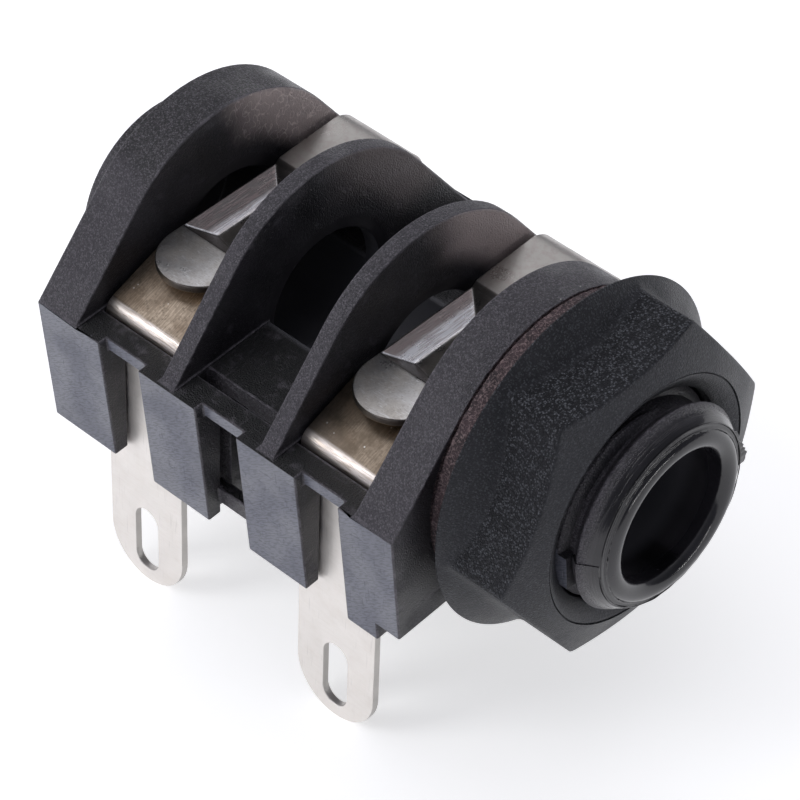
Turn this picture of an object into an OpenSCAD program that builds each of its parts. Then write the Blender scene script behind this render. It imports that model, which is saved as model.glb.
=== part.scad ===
// Panel jack socket for a 6.35 mm two-pole plug, with two break contacts.
// Millimetres. X runs out of the front along the plug, Z is up, and the
// origin lies on the plug axis in the face that seats on the panel.

/* [Housing] */
// Length of the moulding behind the panel
body_len = 22.8; // [20:0.1:26]
// Overall width across the side walls
body_w = 19.8; // [17:0.1:23]
// Height of the near shelf above the plug axis
ledge_z = 1.05; // [0.5:0.05:2]
// Height of the far shelf above the plug axis
far_ledge_z = -1.1; // [-2:0.05:0.5]
// Height of the underside
base_z = -6.35; // [-8:0.05:-5]
// Crown radius of the four bulkheads
crown_r = 7.55; // [7:0.05:8.5]
// Set-in of the near foot of the front and rear bulkheads from the side wall
plate_set = 0.04; // [0.02:0.02:1]
// Set-in of the near foot of the thin bulkheads from the side wall
fin_set = 0.2; // [0.05:0.05:1]
// Slope of the bulkheads on the far side, in degrees
far_slope = 57; // [45:1:70]
// Thickness of the front bulkhead
front_t = 2.38; // [1.5:0.02:3]
// Thickness of the rear bulkhead
rear_t = 2.6; // [1.5:0.02:3.5]
// Thickness of the two thin bulkheads
fin_t = 0.94; // [0.7:0.02:1.6]
// Gap between the rear contact and the thin bulkhead before it
rear_fin_gap = 0.33; // [0.2:0.005:1]
// Gap between the front contact and the thin bulkhead behind it
front_fin_gap = 0.14; // [0.1:0.005:1]
// Radius of the boss on the rear end
boss_r = 5.12; // [4.4:0.02:6]
// Length of the boss behind the rear bulkhead
boss_len = 2.2; // [1:0.1:4]
// Wall left at the closed end of the boss
boss_wall = 0.9; // [0.6:0.1:2]
// Radius of the plug holes through the bulkheads
guide_r = 3.45; // [3.35:0.05:3.7]
// Radius of the trough between the bulkheads
trough_r = 3.85; // [3.5:0.05:4.2]
// Length of the rebate under the front bulkhead
rebate_len = 1.42; // [0.5:0.02:2]
// Height of that rebate
rebate_h = 1.05; // [0.4:0.05:2]

/* [Bush] */
// Radius of the plug bore
bore_r = 3.3; // [3.25:0.01:3.5]
// Radius of the bush at the root of its thread
bush_r = 4.7; // [4.5:0.05:5]
// Length of the bush to the middle of its rounded lip
bush_len = 7.05; // [6:0.05:11]
// Radius of the rounding of the lip
lip_r = 0.54; // [0.3:0.02:0.7]
// Large radius of the tapered lead-in behind the lip
lead_r = 5.17; // [5:0.01:5.25]
// Small radius of the lead-in
lead_end_r = 4.58; // [4.4:0.02:4.9]
// Distance from the middle of the lip back to the large end of the lead-in
lead_back = 0.7; // [0.3:0.05:1.5]
// Distance from the middle of the lip out to the small end of the lead-in
lead_out = 0.2; // [0:0.05:0.4]

/* [Contact positions] */
// Distance between the front and middle contact positions
pitch = 6.35; // [6.35:0.01:6.35]
// Middle of the front contact position
first_x = -4.85; // [-5.2:0.05:-4.5]
// Distance from the rear bulkhead to the middle of the rear contact
tip_back = 2.65; // [2.55:0.05:4]
// Distance of the tag slits from the plug axis, at the shelf
slit_y = 7.95; // [7.5:0.05:8.5]
// Width of the slits for the tags
slit_w = 5.1; // [4.8:0.05:5.6]
// Thickness of the slits for the tags
slit_t = 0.64; // [0.5:0.02:0.8]
// Outward lean of the tags, in degrees
lean = 6.8; // [0:0.1:12]
// Width of the windows in the side walls
window_w = 2.6; // [2:0.05:3.2]
// Height of the bar left above each window
bar_h = 0.9; // [0.5:0.05:1.4]
// Depth of the recess in front of that bar
bar_recess = 0.5; // [0.2:0.05:0.8]
// Window middle, forward of the contact middle
window_shift = 0.24; // [-0.5:0.02:0.5]
// Depth of the empty middle pocket behind its window
pocket_depth = 3.1; // [2:0.1:4]
// Height of the web across the foot of that pocket
web_h = 1; // [0.6:0.1:1.5]
// Thickness of that web
web_t = 0.6; // [0.4:0.1:1]
// Gap between that web and the underside
web_up = 0.6; // [0:0.1:1.5]
// Set-back of that web from the side wall
web_back = 0.8; // [0.4:0.1:1.2]

/* [Nut and washer] */
// Outer radius of the washer
washer_r = 7.62; // [6.5:0.02:8]
// Inner radius of the washer
washer_in_r = 5.6; // [5.4:0.02:6]
// Thickness of the washer
washer_t = 1.42; // [0.5:0.02:2]
// Distance across the flats of the nut
nut_af = 14.62; // [13:0.02:16]
// Turn of the nut about its axis, in degrees
nut_turn = 30.8; // [0:0.1:60]
// Radius of the flange on the nut
flange_r = 8.77; // [8:0.01:9.5]
// Thickness of the flange at its rim
flange_t = 0.1; // [0.08:0.01:1.2]
// Height of the blend between the flange and the hexagon
flange_blend = 1.2; // [0:0.05:2]
// Height of the nut over its flange and hexagon
nut_h = 4.43; // [4:0.01:6]
// Radius of the thread hole in the nut
nut_bore_r = 5.3; // [5.2:0.02:5.6]
// Radius of the chamfer at the mouth of the nut
nut_mouth_r = 6.3; // [5.6:0.02:6.8]
// Depth of the chamfer at the mouth of the nut
nut_mouth_d = 0.5; // [0.3:0.05:1.5]
// Drop of the front of the nut from that mouth to its corners
nut_cone = 0.92; // [0.4:0.02:1.6]

/* [Contacts] */
// Thickness of the contact strip
strip_t = 0.4; // [0.25:0.01:0.5]
// Width of the spring strip
strip_w = 4.5; // [4:0.05:4.8]
// Width of the tag strip
tag_w = 4.92; // [4:0.01:5.1]
// Height of the spring over the plug axis
spring_z = 2.68; // [2.4:0.02:3.4]
// Rise of the spring towards its free end, in degrees
spring_rise = 2.8; // [0:0.1:5]
// Middle of the round free end, out from the axis
tip_y = 4; // [3.5:0.05:4.6]
// Near end of the pressed contact trough
press_near = -3.25; // [-3.4:0.05:-2.5]
// Far end of the pressed contact trough
press_far = 2.75; // [2:0.05:3]
// Depth of the contact trough
press_d = 0.7; // [0.4:0.02:1]
// Distance of the trough line from the rear edge of the strip
press_x = 1.2; // [0.8:0.02:2.25]
// Length of the sloping ends of the trough
press_end = 1.07; // [0.5:0.02:1.5]
// Height of the flat far part of the spring
back_z = 2.75; // [2.5:0.01:3.2]
// Run of the step up to that far part
step_run = 0.4; // [0.2:0.05:0.8]
// Bend radius of the spring at mid thickness
spring_bend = 1.4; // [0.8:0.05:1.8]
// Height of the foot of the moving part of the spring
foot_z = 0.32; // [0:0.02:0.8]
// Gap between the spring and its tag at that foot
foot_gap = 0.1; // [0.05:0.01:0.2]
// Bend radius of the fixed contact at mid thickness
fixed_bend = 0.55; // [0.3:0.05:0.9]
// Slope of the fixed contact under the free end, in degrees
fixed_slope = 17; // [10:0.5:25]
// Inner end of the fixed contact, out from the axis
fixed_y = 4.2; // [4:0.05:4.8]
// Gap left under the resting spring
touch_gap = 0.02; // [0:0.01:0.1]
// Height of the middle of the solder holes
eye_z = -11.72; // [-13:0.02:-10]
// Width of the solder holes
eye_w = 1.52; // [1:0.01:1.8]
// Length of the solder holes
eye_len = 3.75; // [2:0.05:4]
// Height of the middle of the round tag ends
tag_z = -11.85; // [-13:0.05:-10]

/* [Hidden] */
$fn = 96;
over = 1;
nut_sides = 6;
half_w = body_w / 2;
half_t = strip_t / 2;
nut_corner_r = nut_af / 2 / cos(180 / nut_sides);
lip_mid_r = bore_r + lip_r;
far_foot = (crown_r - far_ledge_z * cos(far_slope)) / sin(far_slope);
sleeve_x = first_x;
tip_x = rear_t + tip_back - body_len;
positions = [first_x, first_x - pitch, tip_x];
fin_front = [tip_x + tag_w / 2 + rear_fin_gap + fin_t, first_x - tag_w / 2 - front_fin_gap];
leg_dir = 90 - lean;
fixed_top_z = spring_z + fixed_y * tan(spring_rise) - half_t / cos(spring_rise) - touch_gap;
fixed_end_z = fixed_top_z - half_t / cos(fixed_slope);
fixed_c_y = -slit_y + fixed_bend * sin(leg_dir);
fixed_run = -fixed_y - fixed_c_y + fixed_bend * sin(fixed_slope);
fixed_c_z = fixed_end_z - fixed_run * tan(fixed_slope) - fixed_bend * cos(fixed_slope);
leg_top_z = fixed_c_z + fixed_bend * cos(leg_dir);
leg_lap = 0.8;
far_top_z = foot_z - half_t - foot_gap;
steel = [0.76, 0.75, 0.73];
black = [0.13, 0.13, 0.14];

// Extrudes a Y-Z outline along X, from x0 over the length len.
module along_x(x0, len) {
    translate([x0, 0, 0])
        rotate([90, 0, 90])
            linear_extrude(len)
                children();
}

// A ring or disc outline turned about the plug axis.
module turned() {
    rotate([0, 90, 0])
        rotate_extrude()
            children();
}

// Outline of a bulkhead above the shelves: a crown with two tangent slopes, the
// near one from the point foot_y on the near shelf.
module bulkhead_outline(foot_y) {
    near_turn = atan2(-foot_y, ledge_z) - acos(crown_r / norm([foot_y, ledge_z]));
    intersection() {
        circle(crown_r);
        translate([-crown_r, far_ledge_z - over])
            square([2 * crown_r, 2 * crown_r]);
    }
    polygon([
        [foot_y, ledge_z],
        [-crown_r * sin(near_turn), crown_r * cos(near_turn)],
        [0, 0],
        [crown_r * sin(far_slope), crown_r * cos(far_slope)],
        [far_foot, far_ledge_z],
        [far_foot, far_ledge_z - over],
        [foot_y, far_ledge_z - over]
    ]);
}

// Outline of the lower block with its two shelves.
module block_outline() {
    polygon([
        [-half_w, base_z],
        [half_w, base_z],
        [half_w, far_ledge_z],
        [0, far_ledge_z],
        [0, ledge_z],
        [-half_w, ledge_z]
    ]);
}

// Slit, window and recess for one tag on the near side. The slit follows the
// leaning tag that has its fold at the height fold_z.
module tag_way(top_z, fold_z) {
    translate([0, -slit_y, fold_z])
        rotate([-lean, 0, 0]) {
            translate([-slit_w / 2, -slit_t / 2, base_z - fold_z - over])
                cube([slit_w, slit_t, top_z - base_z + 2 * over]);
            translate([window_shift - window_w / 2, -body_w / 4, base_z - fold_z - over])
                cube([window_w, body_w / 4, top_z - base_z + over - bar_h]);
        }
    translate([window_shift - window_w / 2, -half_w - over, base_z])
        cube([window_w, over + bar_recess, body_w]);
}

// Empty pocket behind the middle window.
module pocket(top_z) {
    translate([window_shift - window_w / 2, -half_w - over, base_z - over])
        cube([window_w, over + pocket_depth, top_z - bar_h - base_z + over]);
}

// Web across the foot of the middle pocket.
module web() {
    translate([window_shift - window_w / 2 - bar_recess, -half_w + web_back, base_z + web_up])
        cube([window_w + 2 * bar_recess, web_t, web_h]);
}

module housing() {
    color(black) {
        difference() {
            union() {
                along_x(-body_len, body_len)
                    block_outline();
                along_x(-body_len, rear_t)
                    bulkhead_outline(plate_set - half_w);
                for (x = fin_front)
                    along_x(x - fin_t, fin_t)
                        bulkhead_outline(fin_set - half_w);
                along_x(-front_t, front_t)
                    bulkhead_outline(plate_set - half_w);
                translate([-body_len - boss_len, 0, 0])
                    rotate([0, 90, 0])
                        cylinder(r = boss_r, h = boss_len + rear_t / 2);
                turned() {
                    translate([bore_r, -front_t / 2])
                        square([bush_r - bore_r, bush_len - lead_back + front_t / 2]);
                    translate([bore_r, 0])
                        square([lip_r, bush_len]);
                    polygon([
                        [lip_mid_r, bush_len + lead_out],
                        [lip_mid_r, bush_len - lead_back - lead_r + bush_r - over],
                        [bush_r, bush_len - lead_back - lead_r + bush_r - over],
                        [bush_r, bush_len - lead_back - lead_r + bush_r],
                        [lead_r, bush_len - lead_back],
                        [lead_end_r, bush_len + lead_out]
                    ]);
                    translate([lip_mid_r, bush_len])
                        circle(lip_r);
                }
            }
            translate([-front_t - over, 0, 0])
                rotate([0, 90, 0])
                    cylinder(r = bore_r, h = front_t + bush_len + over);
            translate([-body_len - boss_len + boss_wall, 0, 0])
                rotate([0, 90, 0])
                    cylinder(r = guide_r, h = body_len + boss_len - boss_wall - front_t);
            translate([-body_len + rear_t, 0, 0])
                rotate([0, 90, 0])
                    cylinder(r = trough_r, h = fin_front[0] - fin_t + body_len - rear_t);
            translate([fin_front[0], 0, 0])
                rotate([0, 90, 0])
                    cylinder(r = trough_r, h = fin_front[1] - fin_t - fin_front[0]);
            translate([fin_front[1], 0, 0])
                rotate([0, 90, 0])
                    cylinder(r = trough_r, h = -front_t - fin_front[1]);
            for (x = positions) {
                translate([x, 0, 0])
                    tag_way(ledge_z, leg_top_z);
                translate([x, 0, 0])
                    mirror([0, 1, 0])
                        tag_way(far_ledge_z, far_top_z);
            }
            translate([-rebate_len, -body_w, base_z - over])
                cube([rebate_len + over, 2 * body_w, rebate_h + over]);
            translate([positions[1], 0, 0])
                pocket(ledge_z);
            translate([positions[1], 0, 0])
                mirror([0, 1, 0])
                    pocket(far_ledge_z);
        }
        translate([positions[1], 0, 0])
            web();
        translate([positions[1], 0, 0])
            mirror([0, 1, 0])
                web();
    }
}

module hex_nut() {
    color(black)
        translate([washer_t, 0, 0])
            difference() {
                union() {
                    intersection() {
                        rotate([nut_turn, 0, 0])
                            rotate([0, 90, 0])
                                cylinder(r = nut_corner_r, h = nut_h, $fn = nut_sides);
                        turned()
                            polygon([
                                [0, 0],
                                [flange_r, 0],
                                [flange_r, nut_h - nut_cone * (flange_r - nut_mouth_r)
                                    / (nut_corner_r - nut_mouth_r)],
                                [nut_mouth_r, nut_h],
                                [0, nut_h]
                            ]);
                    }
                    turned()
                        polygon([
                            [0, 0],
                            [flange_r, 0],
                            [flange_r, flange_t],
                            [nut_af / 2, flange_t + flange_blend],
                            [0, flange_t + flange_blend]
                        ]);
                }
                rotate([0, 90, 0])
                    translate([0, 0, -over])
                        cylinder(r = nut_bore_r, h = nut_h + 2 * over);
                turned()
                    polygon([
                        [0, nut_h - nut_mouth_d],
                        [nut_bore_r, nut_h - nut_mouth_d],
                        [nut_mouth_r, nut_h],
                        [nut_mouth_r, nut_h + over],
                        [0, nut_h + over]
                    ]);
            }
}

module fibre_washer() {
    color([0.27, 0.2, 0.21])
        turned()
            translate([washer_in_r, 0])
                square([washer_r - washer_in_r, washer_t]);
}

// Pressed length of the spring: a trough with sloping ends over the full width.
module pressed() {
    w = strip_w / 2;
    v = press_x - w;
    low = half_t - press_d;
    polyhedron(
        points = [
            [-w, press_near, half_t], [w, press_near, half_t],
            [w, press_far, half_t], [-w, press_far, half_t],
            [v, press_near + press_end, low], [v, press_far - press_end, low],
            [-w, press_near, -half_t], [w, press_near, -half_t],
            [w, press_far, -half_t], [-w, press_far, -half_t],
            [v, press_near + press_end, low - strip_t], [v, press_far - press_end, low - strip_t]
        ],
        faces = [
            [0, 4, 1], [2, 5, 3], [0, 3, 5, 4], [1, 4, 5, 2],
            [6, 7, 10], [8, 9, 11], [6, 10, 11, 9], [7, 8, 11, 10],
            [0, 1, 7, 6], [1, 2, 8, 7], [2, 3, 9, 8], [3, 0, 6, 9]
        ]
    );
}

// Far part of the spring in side view: step, flat, bend and foot.
module back_outline() {
    step_y = press_far + step_run;
    step_z = spring_z - press_far * tan(spring_rise);
    bend_y = slit_y - spring_bend;
    bend_z = back_z - spring_bend;
    polygon([
        [press_far, step_z - half_t],
        [step_y, back_z - half_t],
        [bend_y, back_z - half_t],
        [bend_y, back_z + half_t],
        [step_y, back_z + half_t],
        [press_far, step_z + half_t]
    ]);
    translate([bend_y, bend_z])
        intersection() {
            difference() {
                circle(spring_bend + half_t);
                circle(spring_bend - half_t);
            }
            square(spring_bend + strip_t);
        }
    translate([slit_y - half_t, foot_z])
        square([strip_t, bend_z - foot_z]);
    translate([slit_y, foot_z])
        circle(half_t);
}

// Moving spring with its round free end over the fixed contact.
module spring_arm() {
    color(steel) {
        along_x(-strip_w / 2, strip_w)
            back_outline();
        translate([0, 0, spring_z])
            rotate([-spring_rise, 0, 0]) {
                pressed();
                translate([0, -tip_y, -half_t])
                    cylinder(d = strip_w, h = strip_t);
                translate([-strip_w / 2, -tip_y, -half_t])
                    cube([strip_w, press_near + tip_y, strip_t]);
            }
    }
}

// Flat tag from the height top_z down to its round end with a solder hole.
module tag_blade(top_z, ref_z) {
    translate([0, -slit_y, ref_z])
        rotate([-lean, 0, 0])
            translate([0, half_t, 0])
                rotate([90, 0, 0])
                    linear_extrude(strip_t)
                        difference() {
                            union() {
                                translate([-tag_w / 2, (tag_z - ref_z) / cos(lean)])
                                    square([tag_w, (top_z - tag_z) / cos(lean)]);
                                translate([0, (tag_z - ref_z) / cos(lean)])
                                    circle(d = tag_w);
                            }
                            translate([-eye_w / 2, (eye_z - ref_z - (eye_len - eye_w) / 2) / cos(lean)])
                                square([eye_w, (eye_len - eye_w) / cos(lean)]);
                            for (s = [-1, 1])
                                translate([0, (eye_z - ref_z + s * (eye_len - eye_w) / 2) / cos(lean)])
                                    circle(d = eye_w);
                        }
}

// Fixed half of a spring: the tag held in the far slit.
module spring_tag() {
    color(steel)
        mirror([0, 1, 0])
            tag_blade(far_top_z, far_top_z);
}

// Side view of the fold: a short leg, the bend and the plate under the spring.
module fold_outline() {
    inner_r = fixed_bend - half_t;
    outer_r = fixed_bend + half_t;
    rotate(leg_dir)
        translate([-leg_lap, inner_r])
            square([leg_lap, strip_t]);
    intersection() {
        difference() {
            circle(outer_r);
            circle(inner_r);
        }
        polygon([
            [0, 0],
            [-2 * outer_r * sin(leg_dir), 2 * outer_r * cos(leg_dir)],
            [-2 * outer_r * sin(leg_dir), 2 * outer_r],
            [-2 * outer_r * sin(fixed_slope), 2 * outer_r * cos(fixed_slope)]
        ]);
    }
    rotate(fixed_slope)
        translate([0, inner_r])
            square([fixed_run / cos(fixed_slope), strip_t]);
}

// Fixed contact under the free end, folded from one strip with its tag.
module fixed_contact() {
    color(steel) {
        tag_blade(leg_top_z - leg_lap / 2, leg_top_z);
        along_x(-tag_w / 2, tag_w)
            translate([fixed_c_y, fixed_c_z])
                fold_outline();
    }
}

module tip_spring() {
    translate([tip_x, 0, 0])
        spring_arm();
}

module sleeve_spring() {
    translate([sleeve_x, 0, 0])
        spring_arm();
}

module tip_tag() {
    translate([tip_x, 0, 0])
        spring_tag();
}

module sleeve_tag() {
    translate([sleeve_x, 0, 0])
        spring_tag();
}

module tip_switch_contact() {
    translate([tip_x, 0, 0])
        fixed_contact();
}

module sleeve_switch_contact() {
    translate([sleeve_x, 0, 0])
        fixed_contact();
}

housing();
hex_nut();
fibre_washer();
tip_spring();
tip_tag();
sleeve_spring();
sleeve_tag();
tip_switch_contact();
sleeve_switch_contact();
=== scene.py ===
import math
import bpy
from mathutils import Matrix, Vector, noise


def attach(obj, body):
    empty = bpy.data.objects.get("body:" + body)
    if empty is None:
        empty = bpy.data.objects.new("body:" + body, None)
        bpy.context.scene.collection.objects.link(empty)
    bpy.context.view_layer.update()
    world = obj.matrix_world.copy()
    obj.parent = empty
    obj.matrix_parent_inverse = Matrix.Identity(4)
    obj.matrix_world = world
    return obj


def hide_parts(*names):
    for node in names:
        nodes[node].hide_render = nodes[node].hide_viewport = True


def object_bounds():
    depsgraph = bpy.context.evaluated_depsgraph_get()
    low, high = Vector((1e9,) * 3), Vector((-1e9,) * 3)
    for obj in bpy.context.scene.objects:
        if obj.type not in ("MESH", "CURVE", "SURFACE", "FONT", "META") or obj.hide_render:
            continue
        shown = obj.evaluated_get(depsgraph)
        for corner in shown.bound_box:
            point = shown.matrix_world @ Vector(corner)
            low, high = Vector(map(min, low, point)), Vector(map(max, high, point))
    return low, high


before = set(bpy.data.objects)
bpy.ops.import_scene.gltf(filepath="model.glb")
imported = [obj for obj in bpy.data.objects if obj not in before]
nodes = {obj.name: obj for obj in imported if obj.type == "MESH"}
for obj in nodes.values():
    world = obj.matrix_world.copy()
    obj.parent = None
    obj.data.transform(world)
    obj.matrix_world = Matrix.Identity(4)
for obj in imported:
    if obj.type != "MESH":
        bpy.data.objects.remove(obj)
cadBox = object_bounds()
mm = 0.001
print("frame loaded")

# camera at the photograph's angle, axes as unit vectors
view = {
    "lens": 162.83,
    "sensor": 36.0,
    "clip": (0.005, 5.0),
    "place": (0.0767371, -0.0799209, 0.1165238),
    "right": (0.71801948, 0.69399273, -0.05312358),
    "up": (-0.47186489, 0.54146448, 0.69581588),
    "back": (0.5116557, -0.4745422, 0.71625285),
}


def addObject(name, data):
    obj = bpy.data.objects.new(name, data)
    bpy.context.collection.objects.link(obj)
    return obj


def setCamera():
    data = bpy.data.cameras.new("photoCamera")
    data.lens = view["lens"]
    data.sensor_width = view["sensor"]
    data.clip_start, data.clip_end = view["clip"]
    cam = addObject("photoCamera", data)
    axes = Matrix((view["right"], view["up"], view["back"])).transposed().to_4x4()
    cam.matrix_world = Matrix.Translation(view["place"]) @ axes
    bpy.context.scene.camera = cam


setCamera()
bpy.context.scene.view_settings.view_transform = "Standard"
print("camera set")


# small node helpers
def addNode(tree, kind, inputs=None, **settings):
    node = tree.nodes.new(kind)
    for key, value in settings.items():
        setattr(node, key, value)
    for key, value in (inputs or {}).items():
        if hasattr(value, "is_output"):
            tree.links.new(value, node.inputs[key])
        else:
            node.inputs[key].default_value = value
    return node


def math2(tree, operation, a, b=0.0, clamp=False):
    return addNode(tree, "ShaderNodeMath", {0: a, 1: b}, operation=operation, use_clamp=clamp).outputs[0]


def times(tree, first, *others):
    for other in others:
        first = math2(tree, "MULTIPLY", first, other)
    return first


def without(tree, mask):
    return math2(tree, "SUBTRACT", 1.0, mask, clamp=True)


def ramp(tree, value, low, high, outLow=0.0, outHigh=1.0):
    inputs = {"Value": value, "From Min": low, "From Max": high, "To Min": outLow, "To Max": outHigh}
    return addNode(tree, "ShaderNodeMapRange", inputs, interpolation_type="SMOOTHSTEP").outputs[0]


def straightRamp(tree, value, low, high):
    return addNode(tree, "ShaderNodeMapRange", {"Value": value, "From Min": low, "From Max": high}).outputs[0]


def softNoise(tree, at, scale, detail, rough=0.5):
    inputs = {"Vector": at, "Scale": scale, "Detail": detail, "Roughness": rough}
    return addNode(tree, "ShaderNodeTexNoise", inputs).outputs["Fac"]


def split(tree, vector):
    return addNode(tree, "ShaderNodeSeparateXYZ", {0: vector}).outputs


# the surface's normal, by axis
def leanOf(tree):
    return split(tree, addNode(tree, "ShaderNodeNewGeometry").outputs["Normal"])


def mixColor(tree, factor, a, b):
    return addNode(tree, "ShaderNodeMix", {0: factor, 6: a, 7: b}, data_type="RGBA").outputs[2]


# lays a tone over a colour where all the masks are
def tint(tree, color, tone, *masks):
    return mixColor(tree, times(tree, *masks), color, tone)


def newGroup(name, inputs, outputs):
    group = bpy.data.node_groups.new(name, "ShaderNodeTree")
    group.interface.new_socket(name="Vector", in_out="INPUT", socket_type="NodeSocketVector")
    for label, value in inputs.items():
        kind = "NodeSocketVector" if isinstance(value, tuple) else "NodeSocketFloat"
        socket = group.interface.new_socket(name=label, in_out="INPUT", socket_type=kind)
        socket.default_value = value
    for label in outputs:
        group.interface.new_socket(name=label, in_out="OUTPUT", socket_type="NodeSocketFloat")
    return group, group.nodes.new("NodeGroupInput").outputs, group.nodes.new("NodeGroupOutput").inputs


def placeGroup(tree, group, **inputs):
    return addNode(tree, "ShaderNodeGroup", inputs, node_tree=group).outputs


# spark-eroded mould grain: a fine relief, and single grains that catch the light
def makeMouldGrain():
    group, given, out = newGroup("mouldGrain", {"Scale": 5.0, "Level": 0.45}, ["Height", "Fleck"])
    group.links.new(softNoise(group, given["Vector"], given["Scale"], 2.0, 0.55), out["Height"])
    grains = addNode(group, "ShaderNodeTexVoronoi", {"Vector": given["Vector"], "Scale": given["Scale"]})
    chance = addNode(group, "ShaderNodeSeparateColor", {0: grains.outputs["Color"]}).outputs[0]
    bright = straightRamp(group, chance, given["Level"], 1.0)
    middle = ramp(group, grains.outputs["Distance"], 0.8, 0.3)
    group.links.new(times(group, bright, middle), out["Fleck"])
    return group


# straight rub marks: noise drawn out along one direction
def makeRubMarks():
    group, given, out = newGroup("rubMarks", {"Stretch": (1.0, 1.0, 1.0), "Level": 0.62}, ["Mask"])
    stretch = {0: given["Vector"], 1: given["Stretch"]}
    drawn = addNode(group, "ShaderNodeVectorMath", stretch, operation="MULTIPLY").outputs[0]
    lines = softNoise(group, drawn, 1.0, 1.0)
    high = math2(group, "ADD", given["Level"], 0.09)
    group.links.new(straightRamp(group, lines, given["Level"], high), out["Mask"])
    return group


# curling hairlines: the contour of a soft noise
def makeHairLines():
    group, given, out = newGroup("hairLines", {"Scale": 1.0, "Width": 0.012}, ["Mask"])
    soft = softNoise(group, given["Vector"], given["Scale"], 1.5)
    off = math2(group, "ABSOLUTE", math2(group, "SUBTRACT", soft, 0.5))
    group.links.new(without(group, math2(group, "DIVIDE", off, given["Width"])), out["Mask"])
    return group


# rubbed and nicked places: broken patches at several sizes
def makeRubbedPatches():
    group, given, out = newGroup("rubbedPatches", {"Scale": 1.5, "Level": 0.5}, ["Mask"])
    broken = softNoise(group, given["Vector"], given["Scale"], 3.0, 0.65)
    high = math2(group, "ADD", given["Level"], 0.16)
    group.links.new(straightRamp(group, broken, given["Level"], high), out["Mask"])
    return group


# sparse pale dust
def makeDustSpecks():
    group, given, out = newGroup("dustSpecks", {"Scale": 1.2, "Size": 0.06}, ["Mask"])
    cells = addNode(group, "ShaderNodeTexVoronoi", {"Vector": given["Vector"], "Scale": given["Scale"]})
    chosen = addNode(group, "ShaderNodeSeparateColor", {0: cells.outputs["Color"]}).outputs[0]
    few = ramp(group, chosen, 0.78, 0.8)
    spot = straightRamp(group, cells.outputs["Distance"], given["Size"], times(group, given["Size"], 0.5))
    group.links.new(times(group, spot, few), out["Mask"])
    return group


mouldGrain = makeMouldGrain()
rubMarks = makeRubMarks()
hairLines = makeHairLines()
rubbedPatches = makeRubbedPatches()
dustSpecks = makeDustSpecks()


# a new material, its shader and the place on the part in mm
def startMaterial(name):
    mat = bpy.data.materials.new(name)
    mat.use_nodes = True
    tree = mat.node_tree
    coords = addNode(tree, "ShaderNodeTexCoord").outputs["Object"]
    perMm = (1 / mm, 1 / mm, 1 / mm)
    inMm = addNode(tree, "ShaderNodeVectorMath", {0: coords, 1: perMm}, operation="MULTIPLY")
    return mat, tree, tree.nodes["Principled BSDF"], inMm.outputs[0]


def wire(tree, shader, color, rough, height, look):
    tree.links.new(color, shader.inputs["Base Color"])
    tree.links.new(rough, shader.inputs["Roughness"])
    inputs = {"Height": height, "Strength": look["bump"], "Distance": look["reach"]}
    tree.links.new(addNode(tree, "ShaderNodeBump", inputs).outputs[0], shader.inputs["Normal"])


mouldLook = {
    "dark": (0.012, 0.0115, 0.0138, 1),
    "pale": (0.024, 0.0225, 0.027, 1),
    "wall": (0.214, 0.222, 0.268, 1),
    "wallDark": (0.142, 0.147, 0.179, 1),
    "shelf": (0.005, 0.005, 0.006, 1),
    "inside": (0.08, 0.08, 0.09, 1),
    "wearAndHighlight": (0.195, 0.181, 0.206, 1),
    "dust": (0.5, 0.49, 0.47, 1),
    "haired": (0.8, 0.7, 0.66, 1),
    "brown": (0.47, 0.39, 0.375, 1),
    "top": (0.041, 0.038, 0.0455, 1),
    "slope": (0.062, 0.057, 0.068, 1),
    "grain": 12.5, "bump": 0.9, "reach": 0.00015,
    # where a finish fades in, in mm
    "wallY": (9.1, 9.3), "seamX": (0.2, 0.4), "seamY": (-5.1, -5.15),
    "mouthX": (6.3, 6.9), "boreX": (6.0, 5.0),
    "rearX": (-20.2, -20.6), "rearY": (-4.9, -3.6), "rearZ": (4.0, 5.0), "shelfZ": (1.6, 1.3),
    "bloomX": (-5.0, -6.0), "bloomY": (1.0, 4.4), "bloomZ": (1.0, 3.0), "hairX": (-19.0, -20.0),
    "finX": -13.8, "besideFin": (1.0, 2.0, 0.3, 1.0),
    # squared radii
    "boreSquared": (18.0, 15.0), "coneSquared": (21.8, 23.0), "bloomSquared": (20.0, 34.0),
    # how far the surface leans
    "wallLean": (0.9, 0.98), "crossLean": (0.6, 0.9), "levelLean": (0.97, 0.995),
    "slopeLeanY": (-0.5, -0.66), "slopeLeanZ": (0.3, 0.5),
    # values of the broad noises
    "shade": (0.35, 0.65), "poreShade": (0.42, 0.66, 0.0, 0.4), "gloss": (0.36, 0.64, 0.32, 0.56),
}


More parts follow.
